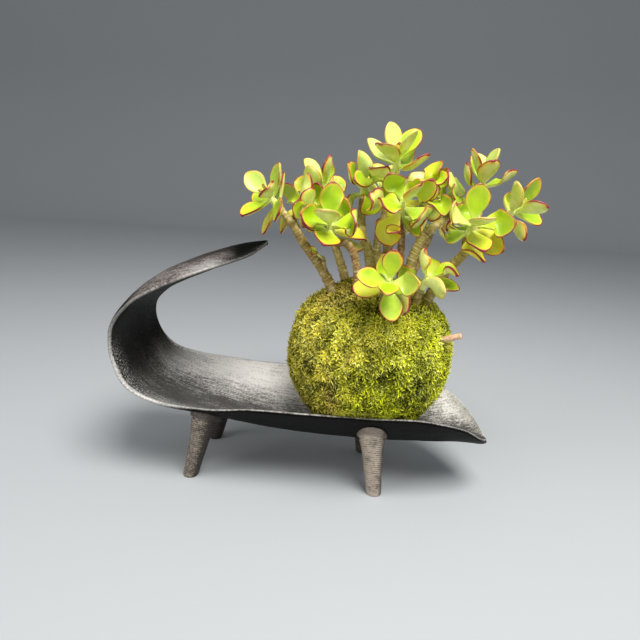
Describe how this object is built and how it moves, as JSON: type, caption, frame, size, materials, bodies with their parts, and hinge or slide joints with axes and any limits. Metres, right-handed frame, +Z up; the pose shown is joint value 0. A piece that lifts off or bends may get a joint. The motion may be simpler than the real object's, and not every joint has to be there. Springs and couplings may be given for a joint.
{
  "type": "kokedama moss ball plant in a scroll tray",
  "caption": "Moss-wrapped soil ball with branching succulent shoots, resting in a long footed ceramic tray that curls over at one end.",
  "frame": {"origin": "on the table, under the middle of the whole object's box", "axes": "+X along the tray to its pointed end, -X to the curl, +Y away from the viewer, +Z up"},
  "size_m": [0.3234, 0.1664, 0.2802],
  "materials": {
    "glaze": "satin",
    "rough_clay": "matte",
    "soil": "matte",
    "moss": "matte",
    "bark": "matte",
    "cut_wood": "matte",
    "leaf_green": "satin"
  },
  "bodies": {
    "root": {"tray": "glaze", "foot_front_left": "rough_clay", "foot_front_right": "rough_clay", "foot_back_left": "rough_clay", "foot_back_right": "rough_clay", "soil_ball": "soil", "moss_cover": "moss", "twig_stub": "cut_wood", "stem_left": "bark", "stem_front_left": "bark", "stem_mid_left": "bark", "stem_top": "bark", "stem_centre": "bark", "stem_mid_right": "bark", "stem_right": "bark", "stem_low_front": "bark", "stem_low_right": "bark", "stem_back_left": "bark", "stem_back": "bark", "stem_back_right": "bark", "leaves_far_left": "leaf_green", "leaves_left": "leaf_green", "leaves_back_left": "leaf_green", "leaves_front_left": "leaf_green", "leaves_mid_left": "leaf_green", "leaves_top": "leaf_green", "leaves_centre": "leaf_green", "leaves_mid_right": "leaf_green", "leaves_back_right": "leaf_green", "leaves_high_right": "leaf_green", "leaves_far_right": "leaf_green", "leaves_front_right": "leaf_green", "leaves_low_front": "leaf_green", "leaves_low_right": "leaf_green", "leaves_back_far_left": "leaf_green", "leaves_back": "leaf_green", "leaves_back_far_right": "leaf_green", "leaves_sprout": "leaf_green"}
  },
  "joints": []
}
